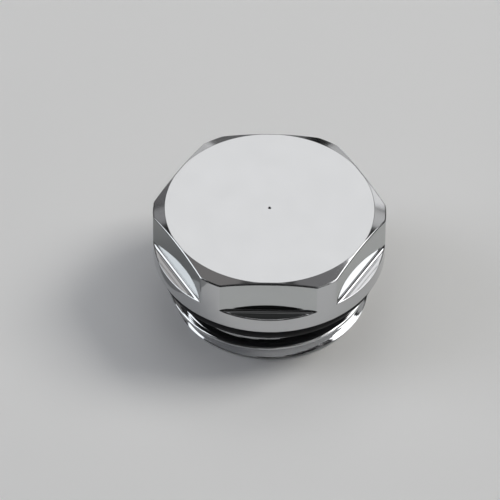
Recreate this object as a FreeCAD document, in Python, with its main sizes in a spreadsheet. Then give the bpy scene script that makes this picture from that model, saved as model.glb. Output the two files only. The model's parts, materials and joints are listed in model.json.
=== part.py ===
import FreeCAD, Part
import math
import os
import Sketcher

# Radiator blanking plug: a chrome plated brass plug with a hexagon head and a loose sealing ring.
# Millimetres, +Z up. The plug stands on its thread end, whose centre is the origin.
# One flat of the hexagon faces the -Y side.

# Driving dimensions: name, value, meaning
DIMENSIONS = [
    ("acrossFlats", 22.0, "spanner size of the hexagon"),
    ("flatCount", 6, "number of spanner flats"),
    ("cornerStep", 1.1, "how far the round flange and the turned corners stand outside a flat"),
    ("headHeight", 6.1, "top of the head above its underside"),
    ("discInset", 0.12, "top disc edge inside the line of the flats"),
    ("topChamferAngle", 22.0, "slope of the turned top chamfer, degrees"),
    ("centreMarkDiameter", 0.36, "turning centre left in the top disc"),
    ("centreMarkDepth", 0.2, "depth of that centre"),
    ("flangeEdge", 1.86, "height of the round flange band outside the middle of a flat"),
    ("ledgeSlope", 10.0, "outward fall of the milled ledge under a flat, degrees"),
    ("ledgeRadius", 0.2, "cutter radius where a flat meets its ledge"),
    ("flangeChamfer", 0.15, "broken lower edge of the flange, both ways"),
    ("threadDiameter", 20.9, "crest diameter of the thread, pipe thread G 1/2"),
    ("threadLength", 3.2, "thread with its end chamfer"),
    ("endChamfer", 0.7, "chamfer at the thread end, both ways"),
    ("neckRamp", 0.45, "length of the ramp from the thread crests to the neck"),
    ("ringSection", 1.8, "thickness of the sealing ring"),
    ("ringCover", 0.52, "how far the flange stands outside the sealing ring"),
    ("ringClearance", 0.05, "sealing ring to neck and to the underside of the head"),
    ("ringGap", 1.1, "sealing ring to the start of the thread"),
    ("boreWall", 2.95, "wall between the thread crests and the blind bore"),
    ("roofThickness", 4.2, "metal between the blind bore and the top disc"),
    ("boreBevel", 1.0, "bevel at the closed end of the blind bore, both ways"),
    ("millOverrun", 1.0, "how far the flat cutter passes outside the head"),
]

# Sizes that follow from the driving dimensions, as expressions
HEAD_RADIUS = "(Dimensions.acrossFlats / 2 + Dimensions.cornerStep)"
FLAT_DISTANCE = "(Dimensions.acrossFlats / 2)"
DISC_RADIUS = "(Dimensions.acrossFlats / 2 - Dimensions.discInset)"
MARK_RADIUS = "(Dimensions.centreMarkDiameter / 2)"
THREAD_RADIUS = "(Dimensions.threadDiameter / 2)"
BORE_RADIUS = f"({THREAD_RADIUS} - Dimensions.boreWall)"
# The flange covers the ring, and the neck is turned to the ring
RING_RADIUS = "(Dimensions.ringSection / 2)"
RING_CENTRE = f"({HEAD_RADIUS} - Dimensions.ringCover - {RING_RADIUS})"
NECK_RADIUS = f"({RING_CENTRE} - {RING_RADIUS} - Dimensions.ringClearance)"
UNDERSIDE = (
    "(Dimensions.threadLength + Dimensions.ringGap"
    " + Dimensions.ringSection + Dimensions.ringClearance)"
)
TOP_LEVEL = f"({UNDERSIDE} + Dimensions.headHeight)"
BORE_TOP = f"({TOP_LEVEL} - Dimensions.roofThickness)"
CHAMFER_DROP = f"(({HEAD_RADIUS} - {DISC_RADIUS}) * tan(Dimensions.topChamferAngle * 1 deg))"
LEDGE_FALL = "tan(Dimensions.ledgeSlope * 1 deg)"
LEDGE_OUTER = f"({UNDERSIDE} + Dimensions.flangeEdge)"
LEDGE_INNER = f"({LEDGE_OUTER} + Dimensions.cornerStep * {LEDGE_FALL})"
LEDGE_TANGENT = "(Dimensions.ledgeRadius / tan((90 + Dimensions.ledgeSlope) / 2 * 1 deg))"

doc = FreeCAD.newDocument("RadiatorBlankingPlug")
sheet = doc.addObject("Spreadsheet::Sheet", "Dimensions")
for row, (alias, value, meaning) in enumerate(DIMENSIONS, start=1):
    sheet.set(f"A{row}", str(value))
    sheet.setAlias(f"A{row}", alias)
    sheet.set(f"B{row}", meaning)
doc.recompute()


def origin_feature(body, role):
    return next(item for item in body.Origin.OriginFeatures if item.Role == role)


def new_sketch(body, name, plane):
    sketch = body.newObject("Sketcher::SketchObject", name)
    sketch.AttachmentSupport = [(origin_feature(body, plane), "")]
    sketch.MapMode = "FlatFace"
    return sketch


def number(sketch, expression):
    value = sketch.evalExpression(expression)
    return float(getattr(value, "Value", value))


def bind(sketch, constraint, expression):
    index = sketch.addConstraint(constraint)
    sketch.setExpression(f"Constraints[{index}]", expression)


def place_point(sketch, geometry, position, across, up):
    # A point on an axis stays on that axis, any other is held by its two distances
    root, horizontal_axis, vertical_axis = -1, -1, -2
    if across == "0":
        sketch.addConstraint(Sketcher.Constraint("PointOnObject", geometry, position, vertical_axis))
    else:
        value = number(sketch, across)
        bind(sketch, Sketcher.Constraint("DistanceX", root, 1, geometry, position, value), across)
    if up == "0":
        sketch.addConstraint(Sketcher.Constraint("PointOnObject", geometry, position, horizontal_axis))
    else:
        value = number(sketch, up)
        bind(sketch, Sketcher.Constraint("DistanceY", root, 1, geometry, position, value), up)


def arc_between(start, end, radius):
    # The arc runs anticlockwise, with its centre on the left of the chord
    chord = end.sub(start)
    half = chord.Length / 2
    middle = start.add(FreeCAD.Vector(chord.x / 2, chord.y / 2, 0))
    normal = FreeCAD.Vector(-chord.y, chord.x, 0).normalize()
    centre = middle.add(normal.multiply(math.sqrt(max(radius ** 2 - half ** 2, 0))))
    begin = math.atan2(start.y - centre.y, start.x - centre.x)
    finish = math.atan2(end.y - centre.y, end.x - centre.x)
    circle = Part.Circle(centre, FreeCAD.Vector(0, 0, 1), radius)
    return Part.ArcOfCircle(circle, begin, finish)


def draw_profile(sketch, corners):
    # Each corner is (across, up), or (across, up, radius of the arc to the next corner)
    points = [
        FreeCAD.Vector(number(sketch, corner[0]), number(sketch, corner[1]), 0)
        for corner in corners
    ]
    start_point, end_point = 1, 2
    sides = []
    for index, corner in enumerate(corners):
        start = points[index]
        end = points[(index + 1) % len(points)]
        if len(corner) == 2:
            side = Part.LineSegment(start, end)
        else:
            side = arc_between(start, end, number(sketch, corner[2]))
        sides.append(sketch.addGeometry(side, False))
    for side, following in zip(sides, sides[1:] + sides[:1]):
        sketch.addConstraint(
            Sketcher.Constraint("Coincident", side, end_point, following, start_point)
        )
    for corner, side in zip(corners, sides):
        place_point(sketch, side, start_point, corner[0], corner[1])
        if len(corner) > 2:
            bind(sketch, Sketcher.Constraint("Radius", side, number(sketch, corner[2])), corner[2])


def revolve(body, sketch, name):
    turned = body.newObject("PartDesign::Revolution", name)
    turned.Profile = sketch
    turned.ReferenceAxis = (sketch, ["V_Axis"])
    turned.Angle = 360
    sketch.Visibility = False
    doc.recompute()
    return turned


# Plug body: the turned blank, from the centre mark over the head and thread to the blind bore
plug_body = doc.addObject("PartDesign::Body", "PlugBody")
plug_body.Label = "plug_body"
plug_body.Placement = FreeCAD.Placement()
blank_sketch = new_sketch(plug_body, "BlankSection", "XZ_Plane")
draw_profile(
    blank_sketch,
    [
        ("0", f"{TOP_LEVEL} - Dimensions.centreMarkDepth"),
        (MARK_RADIUS, TOP_LEVEL),
        (DISC_RADIUS, TOP_LEVEL),
        (HEAD_RADIUS, f"{TOP_LEVEL} - {CHAMFER_DROP}"),
        (HEAD_RADIUS, f"{UNDERSIDE} + Dimensions.flangeChamfer"),
        (f"{HEAD_RADIUS} - Dimensions.flangeChamfer", UNDERSIDE),
        (NECK_RADIUS, UNDERSIDE),
        (NECK_RADIUS, "Dimensions.threadLength"),
        (THREAD_RADIUS, "Dimensions.threadLength - Dimensions.neckRamp"),
        (THREAD_RADIUS, "Dimensions.endChamfer"),
        (f"{THREAD_RADIUS} - Dimensions.endChamfer", "0"),
        (BORE_RADIUS, "0"),
        (BORE_RADIUS, f"{BORE_TOP} - Dimensions.boreBevel"),
        (f"{BORE_RADIUS} - Dimensions.boreBevel", BORE_TOP),
        ("0", BORE_TOP),
    ],
)
blank = revolve(plug_body, blank_sketch, "TurnedBlank")

# One milled flat: upright face, cutter radius and sloped ledge, drawn across the middle of the flat
flat_sketch = new_sketch(plug_body, "FlatSection", "YZ_Plane")
ledge_arc_across = f"{FLAT_DISTANCE} + {LEDGE_TANGENT} * cos(Dimensions.ledgeSlope * 1 deg)"
ledge_arc_up = f"{LEDGE_INNER} - {LEDGE_TANGENT} * sin(Dimensions.ledgeSlope * 1 deg)"
cutter_edge = f"{HEAD_RADIUS} + Dimensions.millOverrun"
draw_profile(
    flat_sketch,
    [
        (FLAT_DISTANCE, f"{LEDGE_INNER} + {LEDGE_TANGENT}", "Dimensions.ledgeRadius"),
        (ledge_arc_across, ledge_arc_up),
        (cutter_edge, f"{LEDGE_OUTER} - Dimensions.millOverrun * {LEDGE_FALL}"),
        (cutter_edge, f"{TOP_LEVEL} + Dimensions.millOverrun"),
        (FLAT_DISTANCE, f"{TOP_LEVEL} + Dimensions.millOverrun"),
    ],
)
flat = plug_body.newObject("PartDesign::Pocket", "MilledFlat")
flat.Profile = flat_sketch
flat.SideType = "Symmetric"
flat.Type = "Length"
flat.setExpression("Length", f"2 * {HEAD_RADIUS}")
flat_sketch.Visibility = False
doc.recompute()

# The same flat all round the head
hexagon = plug_body.newObject("PartDesign::PolarPattern", "Hexagon")
hexagon.Originals = [flat]
hexagon.Axis = (origin_feature(plug_body, "Z_Axis"), [""])
hexagon.Angle = 360
hexagon.setExpression("Occurrences", "Dimensions.flatCount")
plug_body.Tip = hexagon
doc.recompute()

# Sealing ring: a round rubber ring on the neck, just under the head
o_ring = doc.addObject("PartDesign::Body", "SealingRing")
o_ring.Label = "o_ring"
o_ring.Placement = FreeCAD.Placement()
ring_sketch = new_sketch(o_ring, "RingSection", "XZ_Plane")
ring_level = f"{UNDERSIDE} - Dimensions.ringClearance - {RING_RADIUS}"
ring_middle = FreeCAD.Vector(number(ring_sketch, RING_CENTRE), number(ring_sketch, ring_level), 0)
ring_size = number(ring_sketch, RING_RADIUS)
ring_circle = ring_sketch.addGeometry(
    Part.Circle(ring_middle, FreeCAD.Vector(0, 0, 1), ring_size), False
)
place_point(ring_sketch, ring_circle, 3, RING_CENTRE, ring_level)
bind(ring_sketch, Sketcher.Constraint("Radius", ring_circle, ring_size), RING_RADIUS)
revolve(o_ring, ring_sketch, "RoundRing")

doc.recompute()
for item in doc.Objects:
    if "Invalid" in item.State or "Error" in item.State:
        raise RuntimeError(f"{item.Name} failed: {item.State}")
cut_once = blank.Shape.Volume - flat.Shape.Volume
cut_all = blank.Shape.Volume - hexagon.Shape.Volume
if cut_once <= 0 or abs(cut_all - cut_once * hexagon.Occurrences) > 0.01 * cut_all:
    raise RuntimeError("the flats are not cut all round the head")

os.makedirs("parts", exist_ok=True)
for sub_part in (plug_body, o_ring):
    if sub_part.Shape.isNull() or not sub_part.Shape.isValid():
        raise RuntimeError(f"{sub_part.Label} has no valid shape")
    sub_part.Shape.exportStep(f"parts/{sub_part.Label}.step")
    print(sub_part.Label, round(sub_part.Shape.Volume, 2), "mm3", sub_part.Shape.BoundBox)
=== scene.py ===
import json
from math import acos, atan, atan2, cos, hypot, pi, radians, sin, sqrt, tan
import bpy
from mathutils import Matrix, Vector, kdtree


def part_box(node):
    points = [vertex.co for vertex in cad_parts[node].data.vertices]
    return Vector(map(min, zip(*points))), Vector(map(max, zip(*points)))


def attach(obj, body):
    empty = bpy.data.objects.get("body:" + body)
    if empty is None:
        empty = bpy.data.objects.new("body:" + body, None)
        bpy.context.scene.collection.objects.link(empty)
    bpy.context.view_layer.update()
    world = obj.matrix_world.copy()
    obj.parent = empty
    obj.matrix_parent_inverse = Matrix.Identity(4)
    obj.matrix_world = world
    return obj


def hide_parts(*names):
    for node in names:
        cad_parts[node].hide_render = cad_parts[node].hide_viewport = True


# Radiator blanking plug: a chrome plated plug and its rubber sealing ring.
# The pieces are modelled in millimetres and brought to metres when they are done.
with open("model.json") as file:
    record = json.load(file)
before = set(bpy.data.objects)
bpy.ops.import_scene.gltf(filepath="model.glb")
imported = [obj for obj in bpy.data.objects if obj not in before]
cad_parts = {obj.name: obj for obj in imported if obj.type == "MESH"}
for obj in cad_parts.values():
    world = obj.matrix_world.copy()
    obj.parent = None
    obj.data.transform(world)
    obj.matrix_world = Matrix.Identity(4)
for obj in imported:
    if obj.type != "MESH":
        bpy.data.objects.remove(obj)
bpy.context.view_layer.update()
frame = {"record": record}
mm = 0.001
micrometre = 1e-6
mergeDistance = 1e-5  # millimetres
pickDistance = 1e-4  # millimetres


def cadSize(node):
    low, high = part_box(node)
    return high.x / mm, low.z / mm, high.z / mm  # outer radius, lowest and highest level


def mountRadius(name):
    mounts = frame["record"]["mounts"]
    return next(mount["dims"]["r_mm"] for mount in mounts if mount["name"] == name)


flangeRadius, endLevel, topLevel = cadSize("plug_body")
ringRadius, ringBottom, ringTop = cadSize("o_ring")
threadRadius = mountRadius("thread")

# The plug body, in millimetres
plug = {
    "flats": 6,
    "flatDistance": 11.0,       # half of the spanner size
    "discRadius": 10.88,        # flat top inside the chamfer
    "chamferSlope": 22,         # degrees
    "centreMark": (0.18, 0.2),  # radius and depth of the turning centre
    "topRound": 0.2,            # polished top edges
    "cornerRound": 0.7,         # polished upright edges beside the flats
    "ledgeSlope": 10,           # degrees, outward fall
    "ledgeRise": 1.86,          # flange edge under the middle of a flat
    "ledgeFillet": 0.4,         # cutter radius between flat and ledge
    "ledgeRound": 0.12,         # polished outer edge of the ledge
    "headHeight": 6.1,
    "flangeRound": 0.15,
    "neckRadius": 9.73,
    "neckLevel": 3.2,
    "threadTop": 2.75,
    "endChamfer": 0.7,
    "boreRadius": 7.5,
    "boreDepth": 8.05,
    "boreBevel": 1.0,
    "boreEdge": 0.12,
    "flatSteps": 16,            # faces along half a flat
    "roundSteps": 6,            # along the rounding beside it
    "cornerSteps": 6,           # along a turned corner
    "rimSteps": (4, 9),         # over the disc's edge and the chamfer's edge
    "ledgeSteps": (8, 6),       # over the cutter radius and the ledge's edge
    "footSteps": 5,             # over the flange's lower edge
    # rows of faces between two edges, as shares of the way
    "discRows": (0.02, 0.3, 0.6, 0.9, 0.98),
    "sideRows": (0.04, 0.35, 0.65, 0.96),
    "shelfRows": (0.1, 0.5, 0.9),
    "bandRows": (0.06, 0.5, 0.94),
    "underRow": 0.9,            # from the neck out to the next row of the underside
    "startAngle": 15,           # degrees from the middle of a flat, for the section that is turned
    "smoothAngle": 32,          # degrees
}

# The thread groove, in millimetres
thread = {
    "pitch": 1.814,
    "flank": 27.5,         # degrees, half of the thread angle
    "crestLand": 0.06,
    "crestRound": 0.2,
    "rootRound": 0.22,
    "frontLevel": 1.053,   # middle of the lower groove on the -Y side
    "start": -420,         # degrees round from the front, below the thread end
    "fade": 470,           # where the groove starts to run out under the ring
    "end": 620,
    "stepAngle": 3,        # degrees
    "rootTurn": 172,       # degrees, where the root's rounding starts
    "crestTurn": -9,       # degrees, where the crest's rounding ends
    "roundSteps": (3, 5),  # over half the root and over a crest's edge
    "overcut": 0.4,        # the cutter stands out of the blank by this much
}


def arc(across, up, radius, first, last, steps):
    turns = [radians(first + (last - first) * step / steps) for step in range(steps + 1)]
    return [(across + radius * cos(turn), up + radius * sin(turn)) for turn in turns]


def cornerAngles():
    # where the upright rounding leaves the flat and where it meets the turned corner
    inner = plug["flatDistance"] - plug["cornerRound"]
    centre = flangeRadius - plug["cornerRound"]
    side = sqrt(centre ** 2 - inner ** 2)
    return atan2(side, plug["flatDistance"]), atan2(side, inner)


def wallRadius(swing):
    # distance of the head's side from the axis, by the angle from the middle of a flat
    leaves, meets = cornerAngles()
    if swing <= leaves:
        return plug["flatDistance"] / cos(swing)
    if swing >= meets:
        return flangeRadius
    centre = flangeRadius - plug["cornerRound"]
    across = centre * sin(meets - swing)
    return centre * cos(meets - swing) + sqrt(plug["cornerRound"] ** 2 - across ** 2)


def topEdge(wall):
    # disc, cone and side with one rolling radius; near the middle of a flat the cone vanishes
    edge = plug["topRound"]
    slope = radians(plug["chamferSlope"])
    inner = plug["discRadius"] - edge * (1 - cos(slope)) / sin(slope)
    outer = wall - edge
    innerLevel = topLevel - edge
    outerLevel = topLevel - (edge + sin(slope) * (outer - plug["discRadius"])) / cos(slope)
    if outer < inner:
        inner, outerLevel = outer, innerLevel
    lean = 90 - plug["chamferSlope"]
    discSteps, coneSteps = plug["rimSteps"]
    discEdge = arc(inner, innerLevel, edge, 90, lean, discSteps)
    coneEdge = arc(outer, outerLevel, edge, lean, 0, coneSteps)
    return discEdge + coneEdge


def ledge(swing, wall):
    # fillet, sloped ledge and rounded rim; towards the lens tips they turn less and less
    fall = tan(radians(plug["ledgeSlope"]))
    underside = topLevel - plug["headHeight"]
    flatLevel = underside + plug["ledgeRise"] + (flangeRadius - plug["flatDistance"]) * fall
    fillet, rim = plug["ledgeFillet"], plug["ledgeRound"]
    bend = acos(max(1 - (flangeRadius - wall) / (fillet + rim), -1))
    bend = min(bend, pi / 2 - atan(fall * cos(swing)))
    inner = wall + fillet * (1 - cos(bend))
    outer = flangeRadius - rim * (1 - cos(bend))
    innerLevel = flatLevel - (inner * cos(swing) - plug["flatDistance"]) * fall
    outerLevel = flatLevel - (outer * cos(swing) - plug["flatDistance"]) * fall
    turned = bend * 180 / pi
    hollowSteps, crestSteps = plug["ledgeSteps"]
    hollowLevel = innerLevel + fillet * sin(bend)
    crestLevel = outerLevel - rim * sin(bend)
    hollow = arc(wall + fillet, hollowLevel, fillet, 180, 180 + turned, hollowSteps)
    crest = arc(flangeRadius - rim, crestLevel, rim, turned, 0, crestSteps)
    return hollow, crest


def between(first, last, shares):
    return [tuple(a + (b - a) * share for a, b in zip(first, last)) for share in shares]


def headSection(swing):
    # the outline of the head from the axis to the underside, at one angle from the middle of a flat
    wall = wallRadius(swing)
    markRadius, markDepth = plug["centreMark"]
    mark = [(0, topLevel - markDepth), (markRadius, topLevel)]
    rim = topEdge(wall)
    disc = between(mark[-1], rim[0], plug["discRows"])
    hollow, crest = ledge(swing, wall)
    side = between(rim[-1], hollow[0], plug["sideRows"])
    shelf = between(hollow[-1], crest[0], plug["shelfRows"])
    underside = topLevel - plug["headHeight"]
    foot = plug["flangeRound"]
    lower = arc(flangeRadius - foot, underside + foot, foot, 0, -90, plug["footSteps"])
    band = between(crest[-1], lower[0], plug["bandRows"])
    return mark + disc + rim + side + hollow + shelf + crest + band + lower


def shankSection():
    # the turned rest: underside, neck, thread blank, end face and blind bore
    underside = topLevel - plug["headHeight"]
    edge = plug["boreEdge"]
    bore = plug["boreRadius"]
    endRadius = threadRadius - plug["endChamfer"]
    return [
        (plug["neckRadius"] + plug["underRow"], underside),
        (plug["neckRadius"], underside),
        (plug["neckRadius"], plug["neckLevel"]),
        (threadRadius, plug["threadTop"]),
        (threadRadius, endLevel + plug["endChamfer"]),
        (endRadius, endLevel),
        (bore + edge, endLevel),
        (bore, endLevel + edge),
        (bore, plug["boreDepth"] - plug["boreBevel"]),
        (bore - plug["boreBevel"], plug["boreDepth"]),
        (bore / 2, plug["boreDepth"]),
        (0, plug["boreDepth"]),
    ]


def frontPoint(across, up):
    return Vector((0, -across, up))


def drawSection(name, section):
    # a plane merged to one vertex, then drawn along the section point by point
    bpy.ops.object.select_all(action="DESELECT")
    bpy.ops.mesh.primitive_plane_add(size=1, location=(0, 0, 0))
    piece = bpy.context.active_object
    piece.name = piece.data.name = name
    bpy.ops.object.mode_set(mode="EDIT")
    bpy.ops.mesh.select_all(action="SELECT")
    bpy.ops.mesh.merge(type="CENTER")
    bpy.ops.mesh.select_all(action="SELECT")
    bpy.ops.transform.translate(value=frontPoint(*section[0]))
    for first, last in zip(section, section[1:]):
        step = frontPoint(*last) - frontPoint(*first)
        bpy.ops.mesh.extrude_region_move(TRANSFORM_OT_translate={"value": step})
    return piece


def turnSection():
    # one turn in the uneven steps of the hexagon, finer where a flat runs into a corner
    leaves, meets = cornerAngles()
    sector = 2 * pi / plug["flats"]
    corner = sector - 2 * meets
    halfFlat = (leaves, plug["flatSteps"])
    rounding = (meets - leaves, plug["roundSteps"])
    pattern = [halfFlat, rounding, (corner, plug["cornerSteps"]), rounding, halfFlat]
    bpy.ops.mesh.select_all(action="SELECT")
    for _ in range(plug["flats"]):
        for angle, steps in pattern:
            bpy.ops.mesh.spin(steps=steps, angle=angle, center=(0, 0, 0), axis=(0, 0, 1))
    bpy.ops.object.mode_set(mode="OBJECT")


def swingAndTurn(place):
    # angle from the middle of the nearest flat, and the angle round the axis
    turn = atan2(place.y, place.x)
    sector = 2 * pi / plug["flats"]
    fromFlat = (turn + pi / 2) % sector
    return min(fromFlat, sector - fromFlat), turn


def millHexagon(piece, section):
    # every column of the turned piece takes the section of its own angle
    rows = kdtree.KDTree(len(section))
    for row, (across, up) in enumerate(section):
        rows.insert((across, up, 0), row)
    rows.balance()
    shank = shankSection()
    for vertex in piece.data.vertices:
        swing, turn = swingAndTurn(vertex.co)
        _, row, _ = rows.find((hypot(vertex.co.x, vertex.co.y), vertex.co.z, 0))
        across, up = (headSection(swing) + shank)[row]
        vertex.co = (across * cos(turn), across * sin(turn), up)


def closeMesh():
    bpy.ops.object.mode_set(mode="EDIT")
    bpy.ops.mesh.select_all(action="SELECT")
    bpy.ops.mesh.remove_doubles(threshold=mergeDistance)
    bpy.ops.mesh.normals_make_consistent(inside=False)
    bpy.ops.object.mode_set(mode="OBJECT")


def grooveSection():
    # half of the cutter, from the rounded root out past the rounded crest
    flank = radians(thread["flank"])
    crestRound, rootRound = thread["crestRound"], thread["rootRound"]
    crestLevel = (thread["pitch"] - thread["crestLand"]) / 2
    rise = crestLevel - (crestRound + rootRound) * cos(flank)
    root = threadRadius - (crestRound + rootRound) * (1 - sin(flank)) - rise / tan(flank)
    lean = 90 - thread["flank"]
    rootSteps, crestSteps = thread["roundSteps"]
    crestMiddle = threadRadius - crestRound
    hollow = arc(root + rootRound, 0, rootRound, thread["rootTurn"], 180 - lean, rootSteps)
    crest = arc(crestMiddle, crestLevel, crestRound, -lean, thread["crestTurn"], crestSteps)
    return hollow + crest + [(threadRadius + thread["overcut"], crestLevel)]


def cutThread(piece):
    # a cutter on the helix, faded out at the neck, takes the groove out of the blank
    upper = grooveSection()
    outline = upper + [(across, -up) for across, up in reversed(upper)]
    startLevel = thread["frontLevel"] + thread["pitch"] * thread["start"] / 360
    bpy.ops.object.select_all(action="DESELECT")
    bpy.ops.mesh.primitive_circle_add(vertices=len(outline), radius=1, fill_type="NOTHING")
    cutter = bpy.context.active_object
    azimuth = radians(thread["start"] - 90)
    for vertex, (across, up) in zip(cutter.data.vertices, outline):
        vertex.co = (across * cos(azimuth), across * sin(azimuth), startLevel + up)
    sweep = cutter.modifiers.new("helix", "SCREW")
    turned = thread["end"] - thread["start"]
    sweep.axis = "Z"
    sweep.angle = radians(turned)
    sweep.screw_offset = thread["pitch"] * turned / 360
    sweep.steps = sweep.render_steps = int(turned / thread["stepAngle"])
    sweep.use_merge_vertices = False
    bpy.ops.object.modifier_apply(modifier=sweep.name)
    for vertex in cutter.data.vertices:
        around = atan2(vertex.co.y, vertex.co.x) * 180 / pi + 90
        risen = (vertex.co.z - thread["frontLevel"]) / thread["pitch"] * 360
        along = around + 360 * round((risen - around) / 360)
        share = min(max((along - thread["fade"]) / (thread["end"] - thread["fade"]), 0), 1)
        away = 1 + thread["pitch"] * share / hypot(vertex.co.x, vertex.co.y)
        vertex.co.x *= away
        vertex.co.y *= away
    bpy.ops.object.mode_set(mode="EDIT")
    bpy.ops.mesh.select_all(action="SELECT")
    bpy.ops.mesh.fill_holes(sides=len(outline))
    bpy.ops.mesh.normals_make_consistent(inside=False)
    bpy.ops.object.mode_set(mode="OBJECT")
    bpy.ops.object.select_all(action="DESELECT")
    bpy.context.view_layer.objects.active = piece
    groove = piece.modifiers.new("groove", "BOOLEAN")
    groove.operation = "DIFFERENCE"
    groove.solver = "EXACT"
    groove.object = cutter
    bpy.ops.object.modifier_apply(modifier=groove.name)
    bpy.data.objects.remove(cutter)


def smoothPiece(piece, angle):
    bpy.ops.object.select_all(action="DESELECT")
    piece.select_set(True)
    bpy.context.view_layer.objects.active = piece
    bpy.ops.object.shade_smooth_by_angle(angle=radians(angle))
    weighted = piece.modifiers.new("weighted", "WEIGHTED_NORMAL")
    weighted.keep_sharp = True
    bpy.ops.object.modifier_apply(modifier=weighted.name)


def toMetres(piece):
    piece.scale = (mm, mm, mm)
    bpy.ops.object.transform_apply(location=False, rotation=False, scale=True)


def makePlug():
    startSection = headSection(radians(plug["startAngle"])) + shankSection()
    piece = drawSection("chrome_plug", startSection)
    turnSection()
    millHexagon(piece, startSection)
    closeMesh()
    print("plug turned and milled:", len(piece.data.polygons), "faces")
    cutThread(piece)
    print("thread cut:", len(piece.data.polygons), "faces")
    smoothPiece(piece, plug["smoothAngle"])
    toMetres(piece)
    return piece


# The sealing ring, in millimetres
ring = {
    "flash": 0.025,        # moulding line standing proud
    "aroundSteps": 180,
    "sectionSteps": 40,
    "smoothAngle": 40,     # degrees
}


def makeRing():
    section = (ringTop - ringBottom) / 2
    middle = ringRadius - section
    bpy.ops.object.select_all(action="DESELECT")
    bpy.ops.mesh.primitive_torus_add(
        location=(0, 0, 0), major_radius=middle, minor_radius=section,
        major_segments=ring["aroundSteps"], minor_segments=ring["sectionSteps"],
    )
    piece = bpy.context.active_object
    piece.name = piece.data.name = "rubber_ring"
    bpy.ops.object.mode_set(mode="EDIT")
    bpy.ops.mesh.select_all(action="SELECT")
    bpy.ops.transform.translate(value=(0, 0, ringBottom + section))
    bpy.ops.object.mode_set(mode="OBJECT")
    for vertex in piece.data.vertices:
        across = hypot(vertex.co.x, vertex.co.y)
        if abs(vertex.co.z - ringBottom - section) < pickDistance:
            grow = (across + (ring["flash"] if across > middle else 0)) / across
            vertex.co.x *= grow
            vertex.co.y *= grow
    smoothPiece(piece, ring["smoothAngle"])
    toMetres(piece)
    print("ring moulded:", len(piece.data.polygons), "faces")
    return piece


def calc(tree, operation, *values):
    # one maths node; its values are numbers or other nodes' outputs
    node = tree.nodes.new("ShaderNodeMath")
    node.operation = operation
    for socket, value in zip(node.inputs, values):
        if isinstance(value, (int, float)):
            socket.default_value = value
        else:
            tree.links.new(value, socket)
    return node.outputs[0]


def surfaceGrain():
    # shared unevenness of shade, roughness and height; scales per metre, heights in micrometres
    tree = bpy.data.node_groups.new("surfaceGrain", "ShaderNodeTree")
    tree.interface.new_socket("Color", in_out="INPUT", socket_type="NodeSocketColor")
    amounts = ("Shade", "Roughness", "Spread")
    sizes = ("Fine Scale", "Fine Height", "Broad Scale", "Broad Height")
    for name in amounts + sizes:
        tree.interface.new_socket(name, in_out="INPUT", socket_type="NodeSocketFloat")
    tree.interface.new_socket("Color", in_out="OUTPUT", socket_type="NodeSocketColor")
    for name in ("Roughness", "Height"):
        tree.interface.new_socket(name, in_out="OUTPUT", socket_type="NodeSocketFloat")
    given = tree.nodes.new("NodeGroupInput").outputs
    result = tree.nodes.new("NodeGroupOutput").inputs
    place = tree.nodes.new("ShaderNodeTexCoord")
    grain = {}
    for name, detail in (("Fine", 3), ("Broad", 1)):
        noise = tree.nodes.new("ShaderNodeTexNoise")
        noise.inputs["Detail"].default_value = detail
        tree.links.new(place.outputs["Object"], noise.inputs["Vector"])
        tree.links.new(given[name + " Scale"], noise.inputs["Scale"])
        grain[name] = calc(tree, "SUBTRACT", noise.outputs["Fac"], 0.5)
    shade = calc(tree, "MULTIPLY_ADD", grain["Broad"], given["Shade"], 1.0)
    tint = tree.nodes.new("ShaderNodeVectorMath")
    tint.operation = "SCALE"
    tree.links.new(given["Color"], tint.inputs[0])
    tree.links.new(shade, tint.inputs["Scale"])
    tree.links.new(tint.outputs[0], result["Color"])
    rough = calc(tree, "MULTIPLY_ADD", grain["Fine"], given["Spread"], given["Roughness"])
    tree.links.new(rough, result["Roughness"])
    broad = calc(tree, "MULTIPLY", grain["Broad"], given["Broad Height"])
    height = calc(tree, "MULTIPLY_ADD", grain["Fine"], given["Fine Height"], broad)
    tree.links.new(height, result["Height"])
    return tree


grainGroup = surfaceGrain()


def addRelief(tree, height):
    # bump from heights in micrometres
    relief = tree.nodes.new("ShaderNodeBump")
    relief.inputs["Strength"].default_value = 1
    relief.inputs["Distance"].default_value = micrometre
    tree.links.new(height, relief.inputs["Height"])
    return relief


def newMaterial(name, values):
    # a shader with the shared grain on colour, roughness and relief
    material = bpy.data.materials.new(name)
    material.use_nodes = True
    tree = material.node_tree
    shader = tree.nodes["Principled BSDF"]
    grain = tree.nodes.new("ShaderNodeGroup")
    grain.node_tree = grainGroup
    for socket, value in values.items():
        grain.inputs[socket].default_value = value
    relief = addRelief(tree, grain.outputs["Height"])
    tree.links.new(grain.outputs["Color"], shader.inputs["Base Color"])
    tree.links.new(grain.outputs["Roughness"], shader.inputs["Roughness"])
    tree.links.new(relief.outputs["Normal"], shader.inputs["Normal"])
    return material, shader, grain, relief


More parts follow.
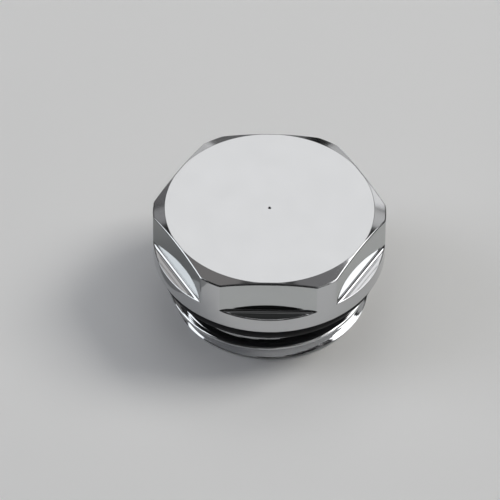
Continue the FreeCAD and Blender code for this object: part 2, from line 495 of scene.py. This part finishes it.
# Polished chrome; disc and cone are a little duller, disc, ledges and thread keep the tools' lines
chrome = {
    "grain": {
        "Shade": 0.06, "Spread": 0.05, "Fine Scale": 2500, "Fine Height": 0.03,
        "Broad Scale": 350, "Broad Height": 1.2,
    },
    "colour": (0.6, 0.605, 0.615, 1),
    "flatColour": (0.555, 0.57, 0.57, 1),  # the milled flats are a little greyer
    "centreDark": (0.02, 0.02, 0.02, 1),         # near-black colour in the sunk turning centre
    "roughness": 0.05,
    "discRoughness": 0.08,                 # added on the disc
    "coneRoughness": 0.06,                 # added on the chamfer cone
    "turnedLines": (5000, 0.25),           # per metre, and height in micrometres
    "milledLines": (4500, 14.0),
    "threadLines": (4000, 24.0),
    # where the finishes lie, in millimetres and in upward parts of the normal
    "discReach": 0.01,                     # down from the top
    "markStart": 0.02,                     # down from the top
    "markSpread": 2,                       # times the radius of the turning centre
    "coneReach": 1.5,                      # down from the top
    "coneFacing": 0.05,                    # either way from the cone's own slope
    "ledgeMiddle": 0.1,                    # up from the flange edge
    "ledgeReach": 0.6,                     # either way from that middle
    "ledgeFacing": 0.9,                    # at least
    "flatReach": 0.01,                     # either way from the flat
}


def mixColours(tree, base, other, share):
    mix = tree.nodes.new("ShaderNodeMix")
    mix.data_type = "RGBA"
    if isinstance(base, tuple):
        mix.inputs["A"].default_value = base
    else:
        tree.links.new(base, mix.inputs["A"])
    mix.inputs["B"].default_value = other
    tree.links.new(share, mix.inputs["Factor"])
    return mix.outputs["Result"]


def plugPlace(tree):
    # distance from the axis and from the hexagon's middle, height, and upward part of the normal
    coordinates = tree.nodes.new("ShaderNodeTexCoord")
    spot = tree.nodes.new("ShaderNodeSeparateXYZ")
    tree.links.new(coordinates.outputs["Object"], spot.inputs["Vector"])
    facing = tree.nodes.new("ShaderNodeSeparateXYZ")
    tree.links.new(coordinates.outputs["Normal"], facing.inputs["Vector"])
    x, y, z = spot.outputs["X"], spot.outputs["Y"], spot.outputs["Z"]
    radius = calc(tree, "SQRT", calc(tree, "MULTIPLY_ADD", x, x, calc(tree, "MULTIPLY", y, y)))
    across = calc(tree, "ABSOLUTE", y)
    for turn in (radians(30), radians(150)):  # the other two pairs of flats
        slanted = calc(tree, "MULTIPLY_ADD", x, cos(turn), calc(tree, "MULTIPLY", y, sin(turn)))
        across = calc(tree, "MAXIMUM", across, calc(tree, "ABSOLUTE", slanted))
    return radius, across, z, facing.outputs["Z"]


def chromeMasks(tree, radius, across, z, upward):
    # each is 1 where its finish lies and 0 elsewhere
    markRadius = plug["centreMark"][0] * chrome["markSpread"]
    coneUpward = cos(radians(plug["chamferSlope"]))
    ledgeLevel = topLevel - plug["headHeight"] + plug["ledgeRise"]
    ledgeMiddle = ledgeLevel + chrome["ledgeMiddle"]
    sunk = calc(tree, "LESS_THAN", z, (topLevel - chrome["markStart"]) * mm)
    central = calc(tree, "LESS_THAN", radius, markRadius * mm)
    leaning = calc(tree, "COMPARE", upward, coneUpward, chrome["coneFacing"])
    high = calc(tree, "GREATER_THAN", z, (topLevel - chrome["coneReach"]) * mm)
    level = calc(tree, "COMPARE", z, ledgeMiddle * mm, chrome["ledgeReach"] * mm)
    lying = calc(tree, "GREATER_THAN", upward, chrome["ledgeFacing"])
    side = calc(tree, "COMPARE", across, plug["flatDistance"] * mm, chrome["flatReach"] * mm)
    above = calc(tree, "GREATER_THAN", z, ledgeLevel * mm)
    return {
        "disc": calc(tree, "GREATER_THAN", z, (topLevel - chrome["discReach"]) * mm),
        "mark": calc(tree, "MULTIPLY", sunk, central),
        "cone": calc(tree, "MULTIPLY", leaning, high),
        "ledge": calc(tree, "MULTIPLY", level, lying),
        "flat": calc(tree, "MULTIPLY", side, above),
        "thread": calc(tree, "LESS_THAN", z, plug["neckLevel"] * mm),
    }


def toolLines(tree, along, scaleAndHeight, mask):
    # fine lines of uneven height, crossing the way along, only where the mask is 1
    scale, height = scaleAndHeight
    noise = tree.nodes.new("ShaderNodeTexNoise")
    noise.noise_dimensions = "1D"
    noise.inputs["Detail"].default_value = 2
    noise.inputs["Scale"].default_value = scale
    tree.links.new(along, noise.inputs["W"])
    return calc(tree, "MULTIPLY", calc(tree, "MULTIPLY", noise.outputs["Fac"], height), mask)


def chromePlate():
    material, shader, grain, relief = newMaterial("chromePlate", chrome["grain"])
    tree = material.node_tree
    shader.inputs["Metallic"].default_value = 1
    radius, across, z, upward = plugPlace(tree)
    masks = chromeMasks(tree, radius, across, z, upward)
    plate = mixColours(tree, chrome["colour"], chrome["flatColour"], masks["flat"])
    # near-black colour where the turning centre is sunk
    plate = mixColours(tree, plate, chrome["centreDark"], masks["mark"])
    tree.links.new(plate, grain.inputs["Color"])
    rough = calc(tree, "MULTIPLY_ADD", masks["disc"], chrome["discRoughness"], chrome["roughness"])
    rough = calc(tree, "MULTIPLY_ADD", masks["cone"], chrome["coneRoughness"], rough)
    tree.links.new(rough, grain.inputs["Roughness"])
    turned = toolLines(tree, radius, chrome["turnedLines"], masks["disc"])
    milled = toolLines(tree, across, chrome["milledLines"], masks["ledge"])
    chased = toolLines(tree, z, chrome["threadLines"], masks["thread"])
    height = calc(tree, "ADD", calc(tree, "ADD", milled, turned), chased)
    tooled = addRelief(tree, height)
    tree.links.new(tooled.outputs["Normal"], relief.inputs["Normal"])
    return material


# Moulded rubber with a fine matt grain
rubber = {
    "grain": {
        "Color": (0.02, 0.02, 0.022, 1), "Shade": 0.5, "Roughness": 0.55, "Spread": 0.25,
        "Fine Scale": 5000, "Fine Height": 4.0, "Broad Scale": 500, "Broad Height": 4.0,
    },
    "specular": 0.12,
}


def blackRubber():
    material, shader = newMaterial("blackRubber", rubber["grain"])[:2]
    shader.inputs["Specular IOR Level"].default_value = rubber["specular"]
    return material


plugPiece = makePlug()
plugPiece.data.materials.append(chromePlate())
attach(plugPiece, "root")
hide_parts("plug_body")

ringPiece = makeRing()
ringPiece.data.materials.append(blackRubber())
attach(ringPiece, "root")
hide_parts("o_ring")

# Stage: pale floor, soft boxes and camera, in metres
studio = {
    "floorSize": 3.0,
    "floor": {
        "Color": (0.87, 0.87, 0.87, 1), "Shade": 0.02, "Roughness": 0.9, "Spread": 0.1,
        "Fine Scale": 900, "Fine Height": 4.0, "Broad Scale": 12, "Broad Height": 0.0,
    },
    "lightDistance": {"all": 0.5, "chrome": 0.5, "floor": 1.5},
    # name: degrees right of straight behind, elevation, width, height, radiance, colour, lights
    "boxes": {
        "backBox": (0, 46, 0.16, 0.2, 1.1, (1, 1, 1), "all"),
        "backRightBox": (30, 52, 0.12, 0.12, 1.12, (1, 1, 1), "all"),
        "backLeftBox": (-30, 52, 0.12, 0.12, 0.6, (1, 0.98, 0.97), "all"),
        "rightCeilingBox": (68, 68, 0.16, 0.22, 0.165, (1, 0.98, 1), "all"),
        "leftCeilingBox": (-68, 68, 0.16, 0.22, 0.18, (1, 0.95, 0.93), "all"),
        "keyBox": (72, 45, 0.63, 0.63, 7.3, (1, 0.98, 0.93), "floor"),
        "leftFillBox": (-85, 25, 0.72, 1.38, 1.8, (0.91, 0.93, 1), "floor"),
        "rightBox": (82, 37, 0.25, 0.385, 2.8, (1, 1, 1), "chrome"),
        "rightStrip": (102, 38, 0.1, 0.34, 2.5, (1, 1, 1), "chrome"),
        "lowFrontStrip": (119, 14, 0.12, 0.2, 2.5, (1, 1, 1), "chrome"),
        "frontRightStrip": (132, 50, 0.26, 0.12, 0.5, (1, 1, 1), "chrome"),
        "leftBox": (-83, 27, 0.24, 0.46, 1.75, (0.93, 0.97, 1), "chrome"),
        "leftStrip": (-104, 30, 0.12, 0.4, 1.6, (0.93, 0.97, 1), "chrome"),
        "lowBackStrip": (-3, 5, 0.165, 0.07, 0.15, (1, 1, 1), "chrome"),
        "lowRightStrip": (20, 12, 0.16, 0.125, 0.62, (1, 1, 1), "chrome"),
        "lowLeftStrip": (-20, 12, 0.16, 0.125, 0.65, (1, 1, 1), "chrome"),
        "cornerRightStrip": (30, 25, 0.09, 0.09, 1.02, (1, 1, 1), "chrome"),
        "cornerLeftStrip": (-30, 25, 0.09, 0.09, 0.17, (1, 0.98, 1), "chrome"),
        "sideRightStrip": (39, 34.5, 0.08, 0.07, 0.66, (1, 1, 1), "chrome"),
        "sideLeftStrip": (-39, 34.5, 0.08, 0.07, 0.32, (0.98, 0.98, 1), "chrome"),
        # the last five are mostly for views from the other sides
        "frontBox": (180, 42, 0.3, 0.1, 0.14, (1, 1, 1), "chrome"),
        "farRightBox": (138, 15, 0.16, 0.18, 0.6, (1, 1, 1), "chrome"),
        "gapRightBox": (60, 32, 0.12, 0.14, 0.4, (1, 1, 1), "chrome"),
        "gapLeftBox": (-60, 32, 0.12, 0.14, 0.16, (1, 1, 1), "chrome"),
        "overheadBox": (0, 88, 0.1, 0.1, 0.4, (1, 1, 1), "chrome"),
    },
    "fill": (0.365, (0.94, 0.97, 1)),  # wide light from above that the chrome doesn't mirror
    "surround": (0.008, 0.06),         # radiance of the dark room, low down and overhead
    "surroundHeights": (0.45, 0.95),   # upward parts of the direction between which it changes
    # dark cards on the floor that only the chrome sees, painted shade in the chrome's reflections
    # of the floor: middle and half size across and along, shade
    "cards": {
        "frontCard": ((0, -0.211), (0.2, 0.189), 0.01),
        "rightCard": ((0.214, 0.05), (0.19, 0.072), 0.01),
        "leftCard": ((-0.0195, 0.02), (0.004, 0.042), 0.45),
        "farLeftCard": ((-0.1195, 0.012), (0.096, 0.02), 0.12),
    },
    "backdrop": (0.6, 0.6, 0.6, 1),
}

camera = {
    "frame": 500,                  # pixels a side
    "focal": 6800,                 # pixels
    "sensor": 36,                  # millimetres
    "distance": 0.7042,            # to the middle of the top disc
    "elevation": 45.1,             # degrees
    "roll": 0.83,                  # degrees, right end lower
    "discCentre": (269.6, 207.8),  # pixel of the middle of the top disc
}


def addFloor():
    bpy.ops.object.select_all(action="DESELECT")
    bpy.ops.mesh.primitive_plane_add(size=studio["floorSize"], location=(0, 0, 0))
    floor = bpy.context.active_object
    floor.name = "floor"
    material = newMaterial("paleFloor", studio["floor"])[0]
    floor.data.materials.append(material)


def addBoxes():
    for name, (side, elevation, width, height, radiance, colour, lights) in studio["boxes"].items():
        turn, lift = radians(side), radians(elevation)
        towards = Vector((sin(turn) * cos(lift), cos(turn) * cos(lift), sin(lift)))
        light = bpy.data.lights.new(name, "AREA")
        light.shape = "RECTANGLE"
        light.size, light.size_y = width, height
        light.color = colour
        light.energy = radiance * width * height * pi
        holder = bpy.data.objects.new(name, light)
        bpy.context.scene.collection.objects.link(holder)
        holder.location = towards * studio["lightDistance"][lights]
        holder.rotation_mode = "QUATERNION"
        holder.rotation_quaternion = towards.to_track_quat("Z", "Y")
        holder.visible_camera = False
        holder.visible_diffuse = lights != "chrome"
        holder.visible_glossy = lights != "floor"


def addCards():
    # each card shows only in the chrome, as painted shade in its reflections of the floor
    for name, ((x, y), (halfWidth, halfLength), shade) in studio["cards"].items():
        bpy.ops.object.select_all(action="DESELECT")
        bpy.ops.mesh.primitive_plane_add(size=2, location=(x, y, mm))
        card = bpy.context.active_object
        card.name = name
        card.scale = (halfWidth, halfLength, 1)
        bpy.ops.object.transform_apply(location=False, rotation=False, scale=True)
        values = dict(studio["floor"], Color=(shade, shade, shade, 1))
        card.data.materials.append(newMaterial(name, values)[0])
        card.visible_camera = card.visible_diffuse = card.visible_shadow = False


def addFill():
    light = bpy.data.lights.new("fill", "AREA")
    light.shape = "DISK"
    light.size = studio["floorSize"]
    radiance, light.color = studio["fill"]
    light.energy = radiance * light.size ** 2 / 4 * pi ** 2
    holder = bpy.data.objects.new("fill", light)
    bpy.context.scene.collection.objects.link(holder)
    holder.location = (0, 0, studio["floorSize"] / 2)
    holder.visible_camera = False
    holder.visible_glossy = False


def addSurround():
    world = bpy.data.worlds.new("studio")
    bpy.context.scene.world = world
    world.use_nodes = True
    nodes, links = world.node_tree.nodes, world.node_tree.links
    background = nodes["Background"]
    sight = nodes.new("ShaderNodeLightPath")
    choose = nodes.new("ShaderNodeMix")
    choose.data_type = "RGBA"
    towards = nodes.new("ShaderNodeTexCoord")
    parts = nodes.new("ShaderNodeSeparateXYZ")
    links.new(towards.outputs["Generated"], parts.inputs["Vector"])
    height = nodes.new("ShaderNodeMapRange")
    limits = studio["surroundHeights"] + studio["surround"]
    for socket, limit in zip(("From Min", "From Max", "To Min", "To Max"), limits):
        height.inputs[socket].default_value = limit
    links.new(parts.outputs["Z"], height.inputs["Value"])
    links.new(height.outputs["Result"], choose.inputs["A"])
    choose.inputs["B"].default_value = studio["backdrop"]
    links.new(sight.outputs["Is Camera Ray"], choose.inputs["Factor"])
    links.new(choose.outputs["Result"], background.inputs["Color"])


def addCamera():
    lift, roll = radians(camera["elevation"]), radians(camera["roll"])
    target = Vector((0, 0, topLevel * mm))
    sight = Vector((0, cos(lift), -sin(lift)))
    level, upright = Vector((1, 0, 0)), Vector((0, sin(lift), cos(lift)))
    right = level * cos(roll) + upright * sin(roll)
    up = upright * cos(roll) - level * sin(roll)
    middle = camera["frame"] / 2
    offRight = (camera["discCentre"][0] - middle) / camera["focal"]
    offUp = (middle - camera["discCentre"][1]) / camera["focal"]
    ahead = (sight - right * offRight - up * offUp).normalized()
    right = (right - ahead * right.dot(ahead)).normalized()
    up = right.cross(ahead)
    data = bpy.data.cameras.new("photoCamera")
    data.sensor_width = camera["sensor"]
    data.lens = data.sensor_width * camera["focal"] / camera["frame"]
    holder = bpy.data.objects.new("photoCamera", data)
    bpy.context.scene.collection.objects.link(holder)
    turn = Matrix((right, up, -ahead)).transposed().to_4x4()
    holder.matrix_world = Matrix.Translation(target - sight * camera["distance"]) @ turn
    bpy.context.scene.camera = holder


addFloor()
addBoxes()
addCards()
addFill()
addSurround()
addCamera()
bpy.context.scene.view_settings.view_transform = "Standard"
print("stage set")
